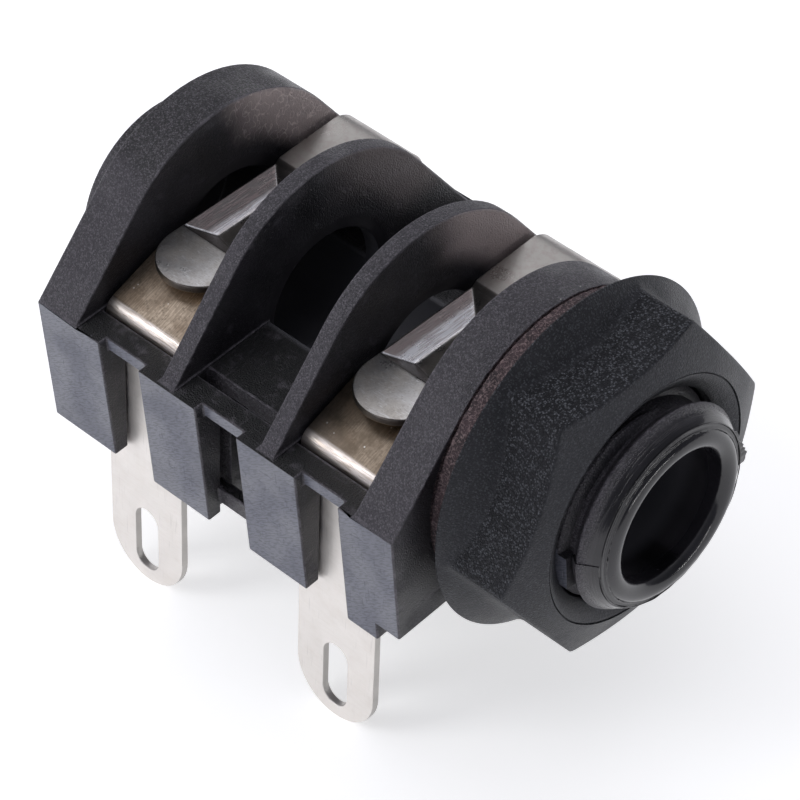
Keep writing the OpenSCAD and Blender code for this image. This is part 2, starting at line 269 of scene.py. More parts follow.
def makeBlackMoulding(name, edge=False):
    s = mouldLook
    mat, tree, shader, at = startMaterial(name)
    xyz = split(tree, at)
    lean = leanOf(tree)
    grain = placeGroup(tree, mouldGrain, Vector=at, Scale=s["grain"], Level=0.2)
    outer = ramp(tree, math2(tree, "ABSOLUTE", xyz[1]), *s["wallY"])
    # the flat beside the parting seam takes the walls' pale tone: painted light
    parting = times(tree, ramp(tree, xyz[1], *s["seamY"]), ramp(tree, xyz[0], *s["seamX"]))
    outer = math2(tree, "MAXIMUM", outer, parting)
    wall = times(tree, ramp(tree, math2(tree, "ABSOLUTE", lean[1]), *s["wallLean"]), outer)
    mouth = ramp(tree, xyz[0], *s["mouthX"])
    cross = ramp(tree, math2(tree, "ABSOLUTE", lean[0]), *s["crossLean"])
    squared = math2(tree, "ADD", times(tree, xyz[1], xyz[1]), times(tree, xyz[2], xyz[2]))
    inside = ramp(tree, squared, *s["boreSquared"])
    grained = without(tree, math2(tree, "MAXIMUM", math2(tree, "MAXIMUM", wall, mouth), inside))
    calm = times(tree, grained, without(tree, times(tree, cross, 0.75)))

    broad = softNoise(tree, at, 0.35, 2.0)
    color = mixColor(tree, ramp(tree, broad, *s["shade"]), s["dark"], s["pale"])
    upper = times(tree, grained, without(tree, cross))
    color = tint(tree, color, s["top"], upper)

    # a dark crown on the rear bulkhead: a painted dark reflection; slopes facing the left lamp painted paler:
    # painted light
    darkReflection = times(tree, ramp(tree, xyz[0], *s["rearX"]), ramp(tree, xyz[2], *s["rearZ"]))
    darkReflection = times(tree, darkReflection, ramp(tree, xyz[1], *s["rearY"]))
    color = tint(tree, color, s["dark"], darkReflection, 0.85)
    # slopes facing the left lamp: painted light, a paler tone
    slope = times(tree, ramp(tree, lean[1], *s["slopeLeanY"]), ramp(tree, lean[2], *s["slopeLeanZ"]))
    color = tint(tree, color, s["slope"], slope, upper, math2(tree, "ADD", broad, 0.15))
    # single grains painted pale: painted glints where the grain catches the light
    color = tint(tree, color, s["wearAndHighlight"], grain["Fleck"], calm, 0.7)

    # side walls and the flat beside the parting seam: painted light, a pale skin tone for the light they
    # catch from the left and from the floor, with slanting flow streaks
    turned = addNode(tree, "ShaderNodeVectorRotate", {"Vector": at, "Angle": 0.6}, rotation_type="Y_AXIS")
    slant = turned.outputs[0]
    streaks = placeGroup(tree, rubMarks, Vector=slant, Stretch=(2.4, 1.0, 15.0), Level=0.42)["Mask"]
    skinTone = mixColor(tree, streaks, s["wallDark"], s["wall"])
    pores = math2(tree, "MAXIMUM", times(tree, grain["Fleck"], 0.4), ramp(tree, broad, *s["poreShade"]))
    skinTone = tint(tree, skinTone, s["wallDark"], pores)
    color = tint(tree, color, skinTone, wall)

    # shelves: painted shade, dark where the bulkheads shelter them, with a torn skin
    shelf = times(tree, ramp(tree, lean[2], *s["levelLean"]), ramp(tree, xyz[2], *s["shelfZ"]))
    torn = placeGroup(tree, rubbedPatches, Vector=at, Scale=1.1, Level=0.56)["Mask"]
    color = tint(tree, color, tint(tree, s["shelf"], s["wearAndHighlight"], torn, 0.35), shelf)

    # curling hairlines and a brown bloom high on the bulkheads' faces
    hairs = placeGroup(tree, hairLines, Vector=at, Scale=1.8, Width=0.026)["Mask"]
    farther = math2(tree, "ADD", xyz[1], times(tree, broad, 2.0))
    high = times(tree, ramp(tree, squared, *s["bloomSquared"]), ramp(tree, farther, *s["bloomY"]))
    ahead = times(tree, ramp(tree, lean[0], *s["crossLean"]), ramp(tree, xyz[2], *s["bloomZ"]))
    beside = math2(tree, "ABSOLUTE", math2(tree, "SUBTRACT", xyz[0], s["finX"]))
    bloom = times(tree, high, ahead, ramp(tree, xyz[0], *s["bloomX"]), ramp(tree, beside, *s["besideFin"]))
    color = tint(tree, color, s["brown"], bloom)
    color = tint(tree, color, s["haired"], hairs, bloom, ramp(tree, xyz[0], *s["hairX"]), 0.85)
    hollow = math2(tree, "SUBTRACT", ramp(tree, xyz[0], *s["boreX"]), cross, clamp=True)
    color = tint(tree, color, s["inside"], inside, hollow)

    # scratches, faint turned lines on the lead-in cone, and dust
    scratches = placeGroup(tree, rubMarks, Vector=at, Stretch=(9.0, 1.1, 1.4), Level=0.64)["Mask"]
    crossing = placeGroup(tree, rubMarks, Vector=at, Stretch=(1.3, 7.0, 6.0), Level=0.65)["Mask"]
    bare = without(tree, math2(tree, "MAXIMUM", mouth, inside))
    marks = times(tree, math2(tree, "MAXIMUM", scratches, crossing), bare)
    turns = placeGroup(tree, rubMarks, Vector=at, Stretch=(16.0, 0.35, 0.35), Level=0.5)["Mask"]
    cone = times(tree, mouth, ramp(tree, squared, *s["coneSquared"]))
    marks = math2(tree, "MAXIMUM", marks, times(tree, turns, cone, 0.4))
    color = tint(tree, color, s["wearAndHighlight"], marks, 0.16)
    dust = placeGroup(tree, dustSpecks, Vector=at, Scale=0.55, Size=0.03)["Mask"]
    color = tint(tree, color, s["dust"], dust, 0.8)

    rough = ramp(tree, softNoise(tree, at, 0.42, 1.0), *s["gloss"])
    gloss = times(tree, math2(tree, "SUBTRACT", rough, 0.15), mouth)
    rough = math2(tree, "SUBTRACT", rough, gloss)
    rough = math2(tree, "ADD", rough, times(tree, marks, 0.12))
    if edge:
        # bevelled edges all a little paler: a painted edge highlight, with real nicks stronger in patches
        nicksAndEdgeHighlight = placeGroup(tree, rubbedPatches, Vector=at, Scale=1.6, Level=0.46)["Mask"]
        nicksAndEdgeHighlight = times(tree, math2(tree, "MAXIMUM", nicksAndEdgeHighlight, 0.3), bare)
        color = tint(tree, color, s["wearAndHighlight"], nicksAndEdgeHighlight, 0.55)
        rough = math2(tree, "ADD", rough, times(tree, nicksAndEdgeHighlight, 0.1))
    height = times(tree, grain["Height"], math2(tree, "ADD", calm, 0.03))
    height = math2(tree, "SUBTRACT", height, times(tree, marks, 0.12))
    wire(tree, shader, color, rough, height, s)
    return mat


nutLook = {
    "dark": (0.008, 0.008, 0.009, 1),
    "pale": (0.014, 0.014, 0.016, 1),
    "fleck": (0.16, 0.168, 0.187, 1),
    "sheen": (0.88, 0.9, 1.0, 1),
    "specular": 0.32,
    "grain": 12.5, "bump": 0.9, "reach": 0.00018,
    "flatLean": (0.35, 0.1), "litTopLean": (0.4, 0.9, 0.75, 1.0),
    "shade": (0.35, 0.65), "gloss": (0.3, 0.7, 0.34, 0.46),
}


def makeBlackNut():
    s = nutLook
    mat, tree, shader, at = startMaterial("blackNut")
    lean = leanOf(tree)
    grain = placeGroup(tree, mouldGrain, Vector=at, Scale=s["grain"], Level=0.45)
    flat = ramp(tree, lean[0], *s["flatLean"])
    broad = softNoise(tree, at, 0.5, 3.0)
    color = mixColor(tree, ramp(tree, broad, *s["shade"]), s["dark"], s["pale"])
    # grain flecks painted pale as glints, most on the flats, and strongest on faces turned up: painted light
    # from above
    flecks = math2(tree, "MAXIMUM", times(tree, grain["Fleck"], flat), times(tree, grain["Fleck"], 0.34))
    color = tint(tree, color, s["fleck"], flecks, ramp(tree, lean[2], *s["litTopLean"]))
    rough = ramp(tree, broad, *s["gloss"])
    rough = math2(tree, "ADD", rough, times(tree, flat, 0.1))
    height = times(tree, grain["Height"], math2(tree, "ADD", flat, 0.3))
    wire(tree, shader, color, rough, height, s)
    shader.inputs["Specular IOR Level"].default_value = s["specular"]
    shader.inputs["Specular Tint"].default_value = s["sheen"]
    return mat


fibreLook = {
    "dark": (0.026, 0.016, 0.019, 1),
    "base": (0.07, 0.046, 0.052, 1),
    "fleck": (0.3, 0.22, 0.22, 1),
    "bump": 0.6, "reach": 0.00006,
    "shade": (0.38, 0.62), "strandGrain": (0.35, 0.6), "gloss": (0.3, 0.7, 0.68, 0.92),
}


def makeFibre():
    s = fibreLook
    mat, tree, shader, at = startMaterial("pressedFibre")
    soft = softNoise(tree, at, 1.6, 5.0, 0.7)
    color = mixColor(tree, ramp(tree, soft, *s["shade"]), s["dark"], s["base"])
    threads = placeGroup(tree, hairLines, Vector=at, Scale=3.4, Width=0.05)["Mask"]
    strands = placeGroup(tree, hairLines, Vector=at, Scale=5.5, Width=0.06)["Mask"]
    threads = math2(tree, "MAXIMUM", threads, strands)
    grain = placeGroup(tree, mouldGrain, Vector=at, Scale=9.0)
    color = tint(tree, color, s["fleck"], threads, ramp(tree, grain["Height"], *s["strandGrain"]), 0.85)
    rough = ramp(tree, soft, *s["gloss"])
    height = math2(tree, "ADD", grain["Height"], threads)
    wire(tree, shader, color, rough, height, s)
    return mat


springLook = {
    "bright": (0.66, 0.65, 0.645, 1),
    "worn": (0.6, 0.57, 0.53, 1),
    "dull": (0.36, 0.33, 0.31, 1),
    "darkCutAndShade": (0.095, 0.085, 0.077, 1),
    "tarnish": (0.33, 0.29, 0.28, 1),
    "flank": (0.21, 0.192, 0.187, 1),
    "farTone": (0.37, 0.355, 0.335, 1),
    "reddish": (0.36, 0.28, 0.275, 1),
    "tan": (0.42, 0.39, 0.34, 1),
    "tag": (0.83, 0.81, 0.79, 1),
    "glint": (0.86, 0.86, 0.88, 1),
    "bump": 0.3, "reach": 0.00002,
    # top of the blade and its fall along y, then where a finish fades in, in mm
    "top": 2.88, "fall": 0.0489,
    "bladeZ": (1.5, 1.7), "tagZ": (-0.2, -1.2), "frontX": (-12.0, -9.0), "highlightDepth": (0.52, 0.7),
    "endY": (4.5, 4.0), "farY": (2.9, 3.2), "cutFarY": (6.0, 5.5), "cutNearY": (-4.4, -3.6),
    # how far the surface leans
    "flankLean": (0.2, 0.35), "otherLean": (-0.1, -0.18), "endLean": (0.25, 0.4), "cutLean": (0.5, 0.3),
    "foldLeanX": (0.1, 0.2), "foldLeanY": (0.08, 0.18),
    "shade": (0.36, 0.68), "gloss": (0.3, 0.7, 0.26, 0.38),
}


def makePlatedSpring():
    s = springLook
    mat, tree, shader, at = startMaterial("platedSpring")
    xyz = split(tree, at)
    lean = leanOf(tree)
    broad = softNoise(tree, at, 0.6, 4.0)
    grain = placeGroup(tree, mouldGrain, Vector=at, Scale=11.0)
    mottle = placeGroup(tree, rubbedPatches, Vector=at, Scale=2.4, Level=0.46)["Mask"]
    color = mixColor(tree, ramp(tree, broad, *s["shade"]), s["bright"], s["worn"])
    color = tint(tree, color, s["dull"], mottle, 0.35)
    color = tint(tree, color, s["dull"], grain["Fleck"], 0.4)
    nicked = placeGroup(tree, rubMarks, Vector=at, Stretch=(3.0, 16.0, 3.0), Level=0.6)["Mask"]
    color = tint(tree, color, s["glint"], nicked, 0.5)

    # trough: its left flank in a darker tarnished tone, darker on the front spring, with a painted highlight
    # along the low part of the crease and reddish streaks
    fall = times(tree, xyz[1], s["fall"])
    depth = math2(tree, "SUBTRACT", s["top"], math2(tree, "ADD", fall, xyz[2]))
    blade = ramp(tree, xyz[2], *s["bladeZ"])
    drawn = placeGroup(tree, rubMarks, Vector=at, Stretch=(22.0, 0.8, 4.0), Level=0.46)["Mask"]
    flank = times(tree, ramp(tree, lean[0], *s["flankLean"]), blade)
    front = ramp(tree, xyz[0], *s["frontX"])
    # the low part of the flank, reaching higher on the front spring: a painted highlight
    lowered = math2(tree, "ADD", depth, times(tree, front, 0.2))
    wearAndHighlight = ramp(tree, math2(tree, "ADD", lowered, times(tree, broad, 0.2)), *s["highlightDepth"])
    flankTone = mixColor(tree, front, s["flank"], s["tarnish"])
    flankTone = tint(tree, flankTone, s["glint"], wearAndHighlight)
    flankTone = tint(tree, flankTone, s["reddish"], drawn, 0.45)
    color = tint(tree, color, flankTone, flank)
    color = tint(tree, color, s["tan"], ramp(tree, lean[0], *s["otherLean"]), blade, 0.6)
    # end facets of the trough painted dark: painted shade, where they look into the trough
    ends = times(tree, ramp(tree, math2(tree, "ABSOLUTE", lean[1]), *s["endLean"]), blade)
    color = tint(tree, color, s["darkCutAndShade"], ends, ramp(tree, xyz[1], *s["endY"]), 0.85)
    # the fold where the left flank meets the end facet: a painted highlight
    foldHighlight = times(tree, ramp(tree, lean[0], *s["foldLeanX"]), ramp(tree, lean[1], *s["foldLeanY"]))
    color = tint(tree, color, s["glint"], foldHighlight, blade)
    # from y 3 on, the blade takes a darker, warmer tone, mottled with tarnish
    farMottledTone = tint(tree, s["farTone"], s["tarnish"], mottle, 0.5)
    color = tint(tree, color, farMottledTone, ramp(tree, xyz[1], *s["farY"]), blade)

    # cut edges
    cut = times(tree, ramp(tree, math2(tree, "ABSOLUTE", lean[2]), *s["cutLean"]), blade)
    cut = times(tree, cut, ramp(tree, xyz[1], *s["cutFarY"]), ramp(tree, xyz[1], *s["cutNearY"]))
    color = tint(tree, color, s["darkCutAndShade"], cut, 0.8)

    tag = ramp(tree, xyz[2], *s["tagZ"])
    color = tint(tree, color, tint(tree, s["tag"], s["dull"], mottle, 0.05), tag, 0.85)
    rough = ramp(tree, broad, *s["gloss"])
    rough = math2(tree, "ADD", rough, times(tree, grain["Fleck"], 0.12))
    rough = math2(tree, "ADD", rough, times(tree, tag, 0.16))
    height = math2(tree, "ADD", times(tree, grain["Height"], 0.8), times(tree, drawn, flank))
    wire(tree, shader, color, rough, height, s)
    shader.inputs["Metallic"].default_value = 1.0
    return mat


contactLook = {
    "gold": (0.5, 0.41, 0.32, 1),
    "brown": (0.3, 0.23, 0.17, 1),
    "bend": (0.78, 0.72, 0.69, 1),
    "pale": (0.83, 0.8, 0.77, 1),
    "speck": (0.17, 0.135, 0.1, 1),
    "glint": (0.9, 0.88, 0.84, 1),
    "cut": (0.44, 0.43, 0.42, 1),
    "bump": 0.25, "reach": 0.00002,
    "frontX": (-12.0, -9.0), "tagZ": (0.6, -1.0), "bendLean": (-0.3, -0.5), "cutLean": (0.5, 0.8),
    "shade": (0.36, 0.66), "gloss": (0.3, 0.7, 0.3, 0.42),
}


def makePlatedContact():
    s = contactLook
    mat, tree, shader, at = startMaterial("platedContact")
    xyz = split(tree, at)
    lean = leanOf(tree)
    broad = softNoise(tree, at, 0.8, 4.0)
    grain = placeGroup(tree, mouldGrain, Vector=at, Scale=9.0)
    smudge = placeGroup(tree, rubbedPatches, Vector=at, Scale=1.1, Level=0.46)["Mask"]
    color = mixColor(tree, ramp(tree, broad, *s["shade"]), s["gold"], s["brown"])
    # the front contact carries more of the dark smudges and is darker overall
    color = tint(tree, color, s["speck"], smudge, ramp(tree, xyz[0], *s["frontX"], 0.25, 0.75))
    color = tint(tree, color, s["speck"], ramp(tree, xyz[0], *s["frontX"], 0.0, 0.45))
    brushed = placeGroup(tree, rubMarks, Vector=at, Stretch=(15.0, 1.1, 3.0), Level=0.44)["Mask"]
    color = tint(tree, color, s["speck"], brushed, 0.45)
    color = tint(tree, color, s["speck"], grain["Fleck"], 0.6)
    glints = placeGroup(tree, dustSpecks, Vector=at, Scale=3.0, Size=0.16)["Mask"]
    color = tint(tree, color, s["glint"], glints, 0.8)

    # bend painted pale: a painted highlight where it turns towards the left lamp, with lines drawn across it;
    # and the paler tag
    rolled = placeGroup(tree, rubMarks, Vector=at, Stretch=(1.2, 14.0, 14.0), Level=0.5)["Mask"]
    bend = ramp(tree, lean[1], *s["bendLean"])
    color = tint(tree, color, tint(tree, s["bend"], s["gold"], rolled, 0.5), bend, 0.9)
    tag = ramp(tree, xyz[2], *s["tagZ"])
    tagTone = tint(tree, s["pale"], s["gold"], smudge, 0.06)
    cut = ramp(tree, math2(tree, "ABSOLUTE", lean[0]), *s["cutLean"])
    tagTone = tint(tree, tagTone, s["cut"], cut, 0.8)
    scored = placeGroup(tree, rubMarks, Vector=at, Stretch=(12.0, 1.0, 0.8), Level=0.66)["Mask"]
    tagTone = tint(tree, tagTone, s["cut"], scored, 0.2)
    color = tint(tree, color, tagTone, tag, 0.9)
    rough = ramp(tree, broad, *s["gloss"])
    rough = math2(tree, "ADD", rough, times(tree, tag, 0.12))
    height = math2(tree, "ADD", times(tree, grain["Height"], 0.6), times(tree, rolled, bend))
    wire(tree, shader, color, rough, height, s)
    shader.inputs["Metallic"].default_value = 1.0
    return mat


blackMoulding = makeBlackMoulding("blackMoulding")
mouldingEdge = makeBlackMoulding("mouldingEdge", edge=True)
blackNut = makeBlackNut()
pressedFibre = makeFibre()
platedSpring = makePlatedSpring()
platedContact = makePlatedContact()
print("materials made")


# skins closed rings of points, given in mm, into one smooth closed mesh
def skin(name, rows, material, rowLoop=False, sharp=35):
    count = len(rows[0])
    points = [Vector(p) * mm for row in rows for p in row]
    faces = []
    rowCount = len(rows)
    for i in range(rowCount if rowLoop else rowCount - 1):
        for j in range(count):
            a = i * count + j
            b = i * count + (j + 1) % count
            c = ((i + 1) % rowCount) * count + (j + 1) % count
            d = ((i + 1) % rowCount) * count + j
            faces.append((a, b, c, d))
    if not rowLoop:
        faces.append(tuple(range(count))[::-1])
        faces.append(tuple(range((rowCount - 1) * count, rowCount * count)))
    mesh = bpy.data.meshes.new(name)
    mesh.from_pydata(points, [], faces)
    mesh.validate()
    mesh.shade_smooth()
    mesh.set_sharp_from_angle(angle=math.radians(sharp))
    mesh.materials.append(material)
    return addObject(name, mesh)


def softMin(a, b, k):
    h = max(k - abs(a - b), 0.0) / k
    return min(a, b) - h * h * k / 4


def softMax(a, b, k):
    return -softMin(-a, -b, k)


def polar(x, r, turn):
    return (x, -r * math.sin(turn), r * math.cos(turn))


# six points round a thin line of flash
def lineRing(thick):
    turns = [math.radians(60 * k) for k in range(6)]
    return [(thick * math.cos(a), thick * math.sin(a)) for a in turns]


# hexagon nut with a thin flange and a conical front
nutShape = {
    "back": 1.42, "front": 5.85, "flat": 7.31, "turn": 30.8, "rim": 8.77, "rimTop": 1.52, "blend": 1.2,
    "mouth": 6.3, "bore": 5.3, "corner": 8.44, "coneDepth": 0.92, "perSide": 60, "rows": 80, "crowding": 1.35,
    "cornerSoft": 0.22, "coneSoft": 0.16, "coveSoft": 0.45,
    # back face, then its rim: out from the back, in from the rim
    "backBore": 0.25, "backMiddle": 7.0, "rimRound": ((0.0, 0.06), (0.02, 0.02), (0.05, 0.0)),
    # a fine turned line and the chamfer: back from the front, in from the mouth
    "mouthEdge": ((0.12, 0.02), (0.12, 0.06), (0.04, 0.08), (0.05, 0.2), (0.25, 0.56)),
    # start of the bore: back from the front, out from the bore
    "boreEdge": ((0.42, 0.2), (0.52, 0.06)),
    "threadStart": 0.6, "threadSteps": 46, "threadFade": 5, "threadDepth": 0.3, "pitch": 1.0,
    "threadSlope": 1.6, "threadRoot": 0.3,
}


def nutRadius(x, turn):
    s = nutShape
    side = math.radians(60)
    off = (turn - math.radians(s["turn"])) % side
    this = s["flat"] / math.cos(off - side / 2)
    nextOff = side / 2 + min(off, side - off)
    hexagon = softMin(this, s["flat"] / math.cos(nextOff), s["cornerSoft"])
    cone = s["mouth"] + (s["front"] - x) * (s["corner"] - s["mouth"]) / s["coneDepth"]
    flange = s["rim"] - (x - s["rimTop"]) * (s["rim"] - s["flat"]) / s["blend"]
    return softMax(flange, softMin(hexagon, cone, s["coneSoft"]), s["coveSoft"])


def makeNut():
    s = nutShape
    count = s["perSide"] * 6
    turns = [2 * math.pi * j / count for j in range(count)]
    backRings = [(s["back"], s["bore"] + s["backBore"]), (s["back"], s["backMiddle"])]
    backRings += [(s["back"] + out, s["rim"] - inward) for out, inward in s["rimRound"]]
    mouthRings = [(s["front"] - down, s["mouth"] - inward) for down, inward in s["mouthEdge"]]
    mouthRings += [(s["front"] - down, s["bore"] + out) for down, out in s["boreEdge"]]
    rows = [[polar(x, r, t) for t in turns] for x, r in backRings]
    for i in range(s["rows"] + 1):
        share = i / s["rows"]
        x = s["rimTop"] + (s["front"] - s["rimTop"]) * (1 - (1 - share) ** s["crowding"])
        rows.append([polar(x, min(nutRadius(x, t), s["rim"]), t) for t in turns])
    rows += [[polar(x, r, t) for t in turns] for x, r in mouthRings]
    steps = s["threadSteps"]
    start = s["front"] - s["threadStart"]
    for i in range(steps + 1):
        x = start - (start - s["back"]) * i / steps
        fade = min(1.0, i / s["threadFade"], (steps - i) / s["threadFade"])
        row = []
        for t in turns:
            wave = abs(((x / s["pitch"] + t / (2 * math.pi)) % 1.0) * 2 - 1)
            cut = max(0.0, min(1.0, wave * s["threadSlope"] - s["threadRoot"]))
            row.append(polar(x, s["bore"] + s["threadDepth"] * fade * cut, t))
        rows.append(row)
    return skin("hexNutForm", rows, blackNut, rowLoop=True, sharp=28)


nutPiece = makeNut()
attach(nutPiece, "nut")
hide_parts("hex_nut")
print("nut made")


# pressed fibre washer with a punched, slightly ragged edge
washerShape = {
    "inner": 5.6, "outer": 7.62, "thick": 1.42, "ragged": 0.09, "dent": 0.05, "steps": 480,
    "tornScale": 2.2, "fineScale": 6.0, "dentScale": 3.0, "dentShift": (9, 4, 2),
    "backGap": 0.13, "backX": 0.02, "backIn": 0.3, "edgeInset": 0.04, "faceInset": 0.05, "holeInset": 0.08,
    "edgeRows": 14, "faceRows": 8, "holeRows": 4,
}


def makeWasher():
    s = washerShape
    edge = s["thick"] - s["edgeInset"] - s["backGap"]
    face = s["outer"] - s["inner"] - 2 * s["faceInset"]
    hole = s["thick"] - 2 * s["holeInset"]
    # x, radius and share of the raggedness
    profile = [(s["backX"], s["outer"] - s["backIn"], 0.5)]
    for k in range(s["edgeRows"] + 1):
        profile.append((s["backGap"] + edge * k / s["edgeRows"], s["outer"], 1.0))
    for k in range(s["faceRows"] + 1):
        profile.append((s["thick"], s["outer"] - s["faceInset"] - face * k / s["faceRows"], 0.3))
    for k in range(s["holeRows"] + 1):
        profile.append((s["thick"] - s["holeInset"] - hole * k / s["holeRows"], s["inner"], 0.2))
    for k in range(s["faceRows"] + 1):
        profile.append((0.0, s["inner"] + s["faceInset"] + face * k / s["faceRows"], 0.3))
    rows = []
    for x, r, rough in profile:
        row = []
        for j in range(s["steps"]):
            t = 2 * math.pi * j / s["steps"]
            p = Vector(polar(x, r, t))
            torn = noise.noise(p * s["tornScale"]) * 0.6 + noise.noise(p * s["fineScale"]) * 0.4
            dent = abs(noise.noise(p * s["dentScale"] + Vector(s["dentShift"]))) * s["dent"] * rough
            inward = dent if x > s["thick"] / 2 else -dent
            row.append(polar(x - inward, r - s["ragged"] * rough * (0.5 + torn), t))
        rows.append(row)
    return skin("fibreWasherForm", rows, pressedFibre, rowLoop=True, sharp=50)


washerPiece = makeWasher()
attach(washerPiece, "washer")
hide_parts("fibre_washer")
print("washer made")


# contact spring: round tab, V trough pressed down, raised step and a bend into the block
springShape = {
    "wide": 4.5, "thick": 0.4, "tabY": -4.0, "tabZ": 2.68, "rise": 2.8, "edge": 0.08, "leastInset": 0.01,
    "troughNear": -3.25, "troughFar": 2.75, "troughDeep": 0.7, "troughLine": 1.2, "troughEnd": 1.07,
    "creaseSoft": 0.1, "rimSoft": 0.06,
    "stepRun": 0.4, "backZ": 2.75, "bend": 1.4, "legY": 7.95, "footZ": 0.14,
    "tabTurn": 88, "tabStep": 4, "across": 44,
    "tabRows": 22, "troughRows": 96, "stepRows": 8, "backRows": 12, "bendRows": 16, "legRows": 5,
    # cut side: share of the way out, and share of the edge down from the face
    "side": ((0.85, 0.6), (1.0, 1.3)),
}


def troughDepth(u, y):
    s = springShape
    half = s["wide"] / 2
    line = s["troughLine"] - half
    left = (u + half) / (line + half)
    right = (half - u) / (half - line)
    near = (y - s["troughNear"]) / s["troughEnd"]
    far = (s["troughFar"] - y) / s["troughEnd"]
    soft = s["creaseSoft"]
    depth = softMin(softMin(left, right, soft), softMin(near, far, soft), soft)
    return s["troughDeep"] * softMax(depth, 0.0, s["rimSoft"])


# the strip's middle line: y, z, half width, normal in the y z plane
def springPath():
    s = springShape
    half = s["wide"] / 2
    slope = math.tan(math.radians(s["rise"]))
    path = []
    flatNormal = Vector((0, slope, 1)).normalized()
    for k in range(s["tabRows"] + 1):
        angle = math.radians(s["tabTurn"] - s["tabStep"] * k)
        y = s["tabY"] - half * math.sin(angle)
        path.append((y, s["tabZ"] - y * slope, half * math.cos(angle), flatNormal))
    for k in range(1, s["troughRows"] + 1):
        y = s["tabY"] + (s["troughFar"] - s["tabY"]) * k / s["troughRows"]
        path.append((y, s["tabZ"] - y * slope, half, flatNormal))
    low = s["tabZ"] - s["troughFar"] * slope
    for k in range(1, s["stepRows"] + 1):
        share = k / s["stepRows"]
        y = s["troughFar"] + s["stepRun"] * share
        z = low + (s["backZ"] - low) * (3 * share ** 2 - 2 * share ** 3)
        grade = (s["backZ"] - low) * 6 * share * (1 - share) / s["stepRun"]
        path.append((y, z, half, Vector((0, -grade, 1)).normalized()))
    backEnd = s["legY"] - s["bend"]
    stepEnd = s["troughFar"] + s["stepRun"]
    for k in range(1, s["backRows"] + 1):
        y = stepEnd + (backEnd - stepEnd) * k / s["backRows"]
        path.append((y, s["backZ"], half, Vector((0, 0, 1))))
    legTop = s["backZ"] - s["bend"]
    for k in range(1, s["bendRows"] + 1):
        angle = math.radians(90 * k / s["bendRows"])
        out = Vector((0, math.sin(angle), math.cos(angle)))
        path.append((backEnd + s["bend"] * out.y, legTop + s["bend"] * out.z, half, out))
    for k in range(1, s["legRows"] + 1):
        path.append((s["legY"], legTop + (s["footZ"] - legTop) * k / s["legRows"], half, Vector((0, 1, 0))))
    return path


def makeSpring(name, middle, body):
    s = springShape
    t = s["thick"] / 2
    edge = s["edge"]
    # chamfer, cut side, chamfer
    sides = [(share, t - edge * down) for share, down in s["side"]]
    sides += [(share, edge * down - t) for share, down in reversed(s["side"])]
    rows = []
    for y, z, half, normal in springPath():
        inset = max(half - edge, s["leastInset"])
        face = []
        for k in range(s["across"] + 1):
            u = -inset + 2 * inset * (k / s["across"])
            face.append(Vector((middle + u, y, z - troughDepth(u, y))))
        ring = [p + normal * t for p in face]
        for share, level in sides:
            place = Vector((middle + inset + (half - inset) * share, y, z - troughDepth(half, y)))
            ring.append(place + normal * level)
        ring += [p - normal * t for p in reversed(face)]
        for share, level in reversed(sides):
            place = Vector((middle - inset - (half - inset) * share, y, z - troughDepth(-half, y)))
            ring.append(place + normal * level)
        rows.append(ring)
    piece = skin(name + "Form", rows, platedSpring, sharp=25)
    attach(piece, body)
    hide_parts(name)


springPlaces = {"tip_spring": (-17.55, "tip_arm"), "sleeve_spring": (-4.85, "sleeve_arm")}
for name, (middle, body) in springPlaces.items():
    makeSpring(name, middle, body)
print("springs made")


# CAD nodes that stay: softened edges and their finish
edgeLook = {"angle": 32, "segments": 3, "flatAngle": 0.5, "merge": 0.001, "housingMerge": 0.042}


def softEdges(obj, width, edgeSlot, plates, merge):
    weld = obj.modifiers.new("weld", "WELD")
    weld.merge_threshold = merge * mm
    if plates:
        flats = obj.modifiers.new("mergeFlats", "DECIMATE")
        flats.decimate_type = "DISSOLVE"
        flats.angle_limit = math.radians(edgeLook["flatAngle"])
    bevel = obj.modifiers.new("softEdge", "BEVEL")
    bevel.width = width * mm
    bevel.segments = edgeLook["segments"]
    bevel.limit_method = "ANGLE"
    bevel.angle_limit = math.radians(edgeLook["angle"])
    bevel.use_clamp_overlap = False
    bevel.harden_normals = True
    bevel.material = edgeSlot


edgeWidths = {
    "housing": 0.1, "tip_tag": 0.05, "sleeve_tag": 0.05,
    "tip_switch_contact": 0.06, "sleeve_switch_contact": 0.06,
}
finishes = {
    "housing": blackMoulding, "hex_nut": blackNut, "fibre_washer": pressedFibre,
    "tip_tag": platedSpring, "sleeve_tag": platedSpring,
    "tip_spring": platedSpring, "sleeve_spring": platedSpring,
    "tip_switch_contact": platedContact, "sleeve_switch_contact": platedContact,
}
for name, obj in nodes.items():
    obj.data.materials.clear()
    obj.data.materials.append(finishes[name])
    if name == "housing":
        obj.data.materials.append(mouldingEdge)
        softEdges(obj, edgeWidths[name], 1, False, edgeLook["housingMerge"])
    elif name in edgeWidths:
        softEdges(obj, edgeWidths[name], -1, True, edgeLook["merge"])
print("solids dressed")


# coarse thread moulded on the bush, a shade larger below the mould's parting seam
threadShape = {
    "start": 0.45, "end": 5.5, "pitch": 1.0, "root": 4.66, "crest": 5.15, "foot": 0.36, "top": 0.14,
    "round": 0.05, "sunk": 0.05, "perTurn": 120, "runOut": 12, "least": 0.05,
    "seam": 84.0, "seamEnd": 205.0, "seamStep": 0.03, "seamFade": 60.0,
}


def seamRise(turn):
    s = threadShape
    angle = math.degrees(turn) % 360
    if angle < s["seam"] or angle > s["seamEnd"]:
        return 0.0
    return s["seamStep"] * min(1.0, (s["seamEnd"] - angle) / s["seamFade"])


